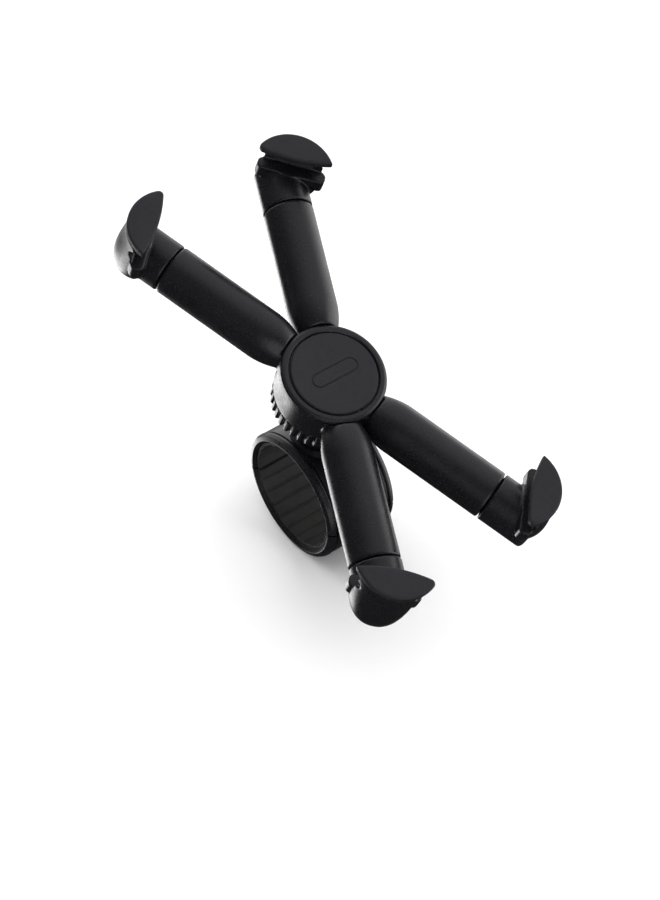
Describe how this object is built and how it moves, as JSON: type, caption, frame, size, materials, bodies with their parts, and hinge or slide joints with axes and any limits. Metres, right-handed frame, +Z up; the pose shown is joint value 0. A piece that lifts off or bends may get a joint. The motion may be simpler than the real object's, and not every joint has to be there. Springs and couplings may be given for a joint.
{
  "type": "phone handlebar mount",
  "caption": "X-shaped phone holder with spring-loaded corner claws on a lockable ball joint, carried by a hinged round handlebar clamp.",
  "frame": {"origin": "on the handlebar's axis, in the middle of the clamp's width", "axes": "+X along the handlebar, +Z up from the bar through the clamp's saddle, -Y towards the rider; the head is stored tipped 23 degrees towards the rider"},
  "size_m": [0.0702, 0.1383, 0.1106],
  "materials": {
    "moulded_black": "fine-grained moulded nylon, charcoal black, satin",
    "soft_touch": "soft-touch elastomer, dark grey, matte",
    "rubber": "ribbed black rubber, matte",
    "nylon": "natural white nylon, satin",
    "steel": "zinc-plated steel, satin",
    "black_steel": "black-oxide steel, satin",
    "spring_steel": "spring steel, bright drawn"
  },
  "bodies": {
    "clamp": {"clamp_upper": "moulded_black", "hinge_pin": "steel", "liner_upper": "rubber", "ball_stud": "moulded_black", "stud_screw": "steel"},
    "lower_jaw": {"clamp_lower": "moulded_black", "liner_lower": "rubber", "clamp_nut": "steel"},
    "clamp_screw": {"clamp_screw": "black_steel"},
    "ball_seat": {"seat_ring": "nylon"},
    "socket": {"socket_collet": "moulded_black", "seat_cup": "nylon", "snap_ring": "spring_steel"},
    "lock_ring": {"lock_ring": "moulded_black"},
    "head": {"x_frame": "moulded_black", "cap_ring": "moulded_black", "cap_plate": "moulded_black", "cap_screws": "steel", "cap_disc": "soft_touch", "arm_bush_upper_right": "nylon", "arm_bush_upper_left": "nylon", "arm_bush_lower_left": "nylon", "arm_bush_lower_right": "nylon", "claw_spring_upper_right": "spring_steel", "claw_spring_upper_left": "spring_steel", "claw_spring_lower_left": "spring_steel", "claw_spring_lower_right": "spring_steel"},
    "claw_upper_right": {"claw_body_upper_right": "moulded_black", "claw_lip_upper_right": "soft_touch", "claw_pad_upper_right": "rubber", "slide_rod_upper_right": "steel", "rod_stop_upper_right": "nylon"},
    "claw_upper_left": {"claw_body_upper_left": "moulded_black", "claw_lip_upper_left": "soft_touch", "claw_pad_upper_left": "rubber", "slide_rod_upper_left": "steel", "rod_stop_upper_left": "nylon"},
    "claw_lower_left": {"claw_body_lower_left": "moulded_black", "claw_lip_lower_left": "soft_touch", "claw_pad_lower_left": "rubber", "slide_rod_lower_left": "steel", "rod_stop_lower_left": "nylon"},
    "claw_lower_right": {"claw_body_lower_right": "moulded_black", "claw_lip_lower_right": "soft_touch", "claw_pad_lower_right": "rubber", "slide_rod_lower_right": "steel", "rod_stop_lower_right": "nylon"}
  },
  "joints": [
    {"name": "jaw_hinge", "type": "hinge", "parent": "clamp", "child": "lower_jaw", "pos_m": [0, 0.0244, -0.0062], "axis": [1, 0, 0], "range_deg": [0, 50]},
    {"name": "clamp_screw_back_out", "type": "slide", "parent": "clamp", "child": "clamp_screw", "axis": [0, 0, 1], "range_m": [0, 0.0125]},
    {"name": "head_tilt_fore_aft", "type": "hinge", "parent": "clamp", "child": "ball_seat", "pos_m": [0, 0, 0.036], "axis": [1, 0, 0], "range_deg": [-51, 5]},
    {"name": "head_tilt_sideways", "type": "hinge", "parent": "ball_seat", "child": "socket", "pos_m": [0, 0, 0.036], "axis": [0, 0.9205, 0.3907], "range_deg": [-12, 12]},
    {"name": "head_turn", "type": "hinge", "parent": "socket", "child": "head", "pos_m": [0, 0, 0.036], "axis": [0, -0.3907, 0.9205], "continuous": true},
    {"name": "lock_ring_turn", "type": "hinge", "parent": "socket", "child": "lock_ring", "pos_m": [0, 0, 0.036], "axis": [0, -0.3907, 0.9205], "range_deg": [0, 330]},
    {"name": "claw_pull_upper_right", "type": "slide", "parent": "head", "child": "claw_upper_right", "axis": [0.3746, 0.8535, 0.3623], "range_m": [0, 0.016], "stiffness_N_per_m": 120, "springref_m": -0.012, "deforming": ["claw_spring_upper_right"]},
    {"name": "claw_pull_upper_left", "type": "slide", "parent": "head", "child": "claw_upper_left", "axis": [-0.3746, 0.8535, 0.3623], "range_m": [0, 0.016], "stiffness_N_per_m": 120, "springref_m": -0.012, "deforming": ["claw_spring_upper_left"]},
    {"name": "claw_pull_lower_left", "type": "slide", "parent": "head", "child": "claw_lower_left", "axis": [-0.3746, -0.8535, -0.3623], "range_m": [0, 0.016], "stiffness_N_per_m": 120, "springref_m": -0.012, "deforming": ["claw_spring_lower_left"]},
    {"name": "claw_pull_lower_right", "type": "slide", "parent": "head", "child": "claw_lower_right", "axis": [0.3746, -0.8535, -0.3623], "range_m": [0, 0.016], "stiffness_N_per_m": 120, "springref_m": -0.012, "deforming": ["claw_spring_lower_right"]}
  ],
  "couplings": [
    {"joint": "clamp_screw_back_out", "follows": "jaw_hinge", "m_per_rad": 0.014}
  ]
}
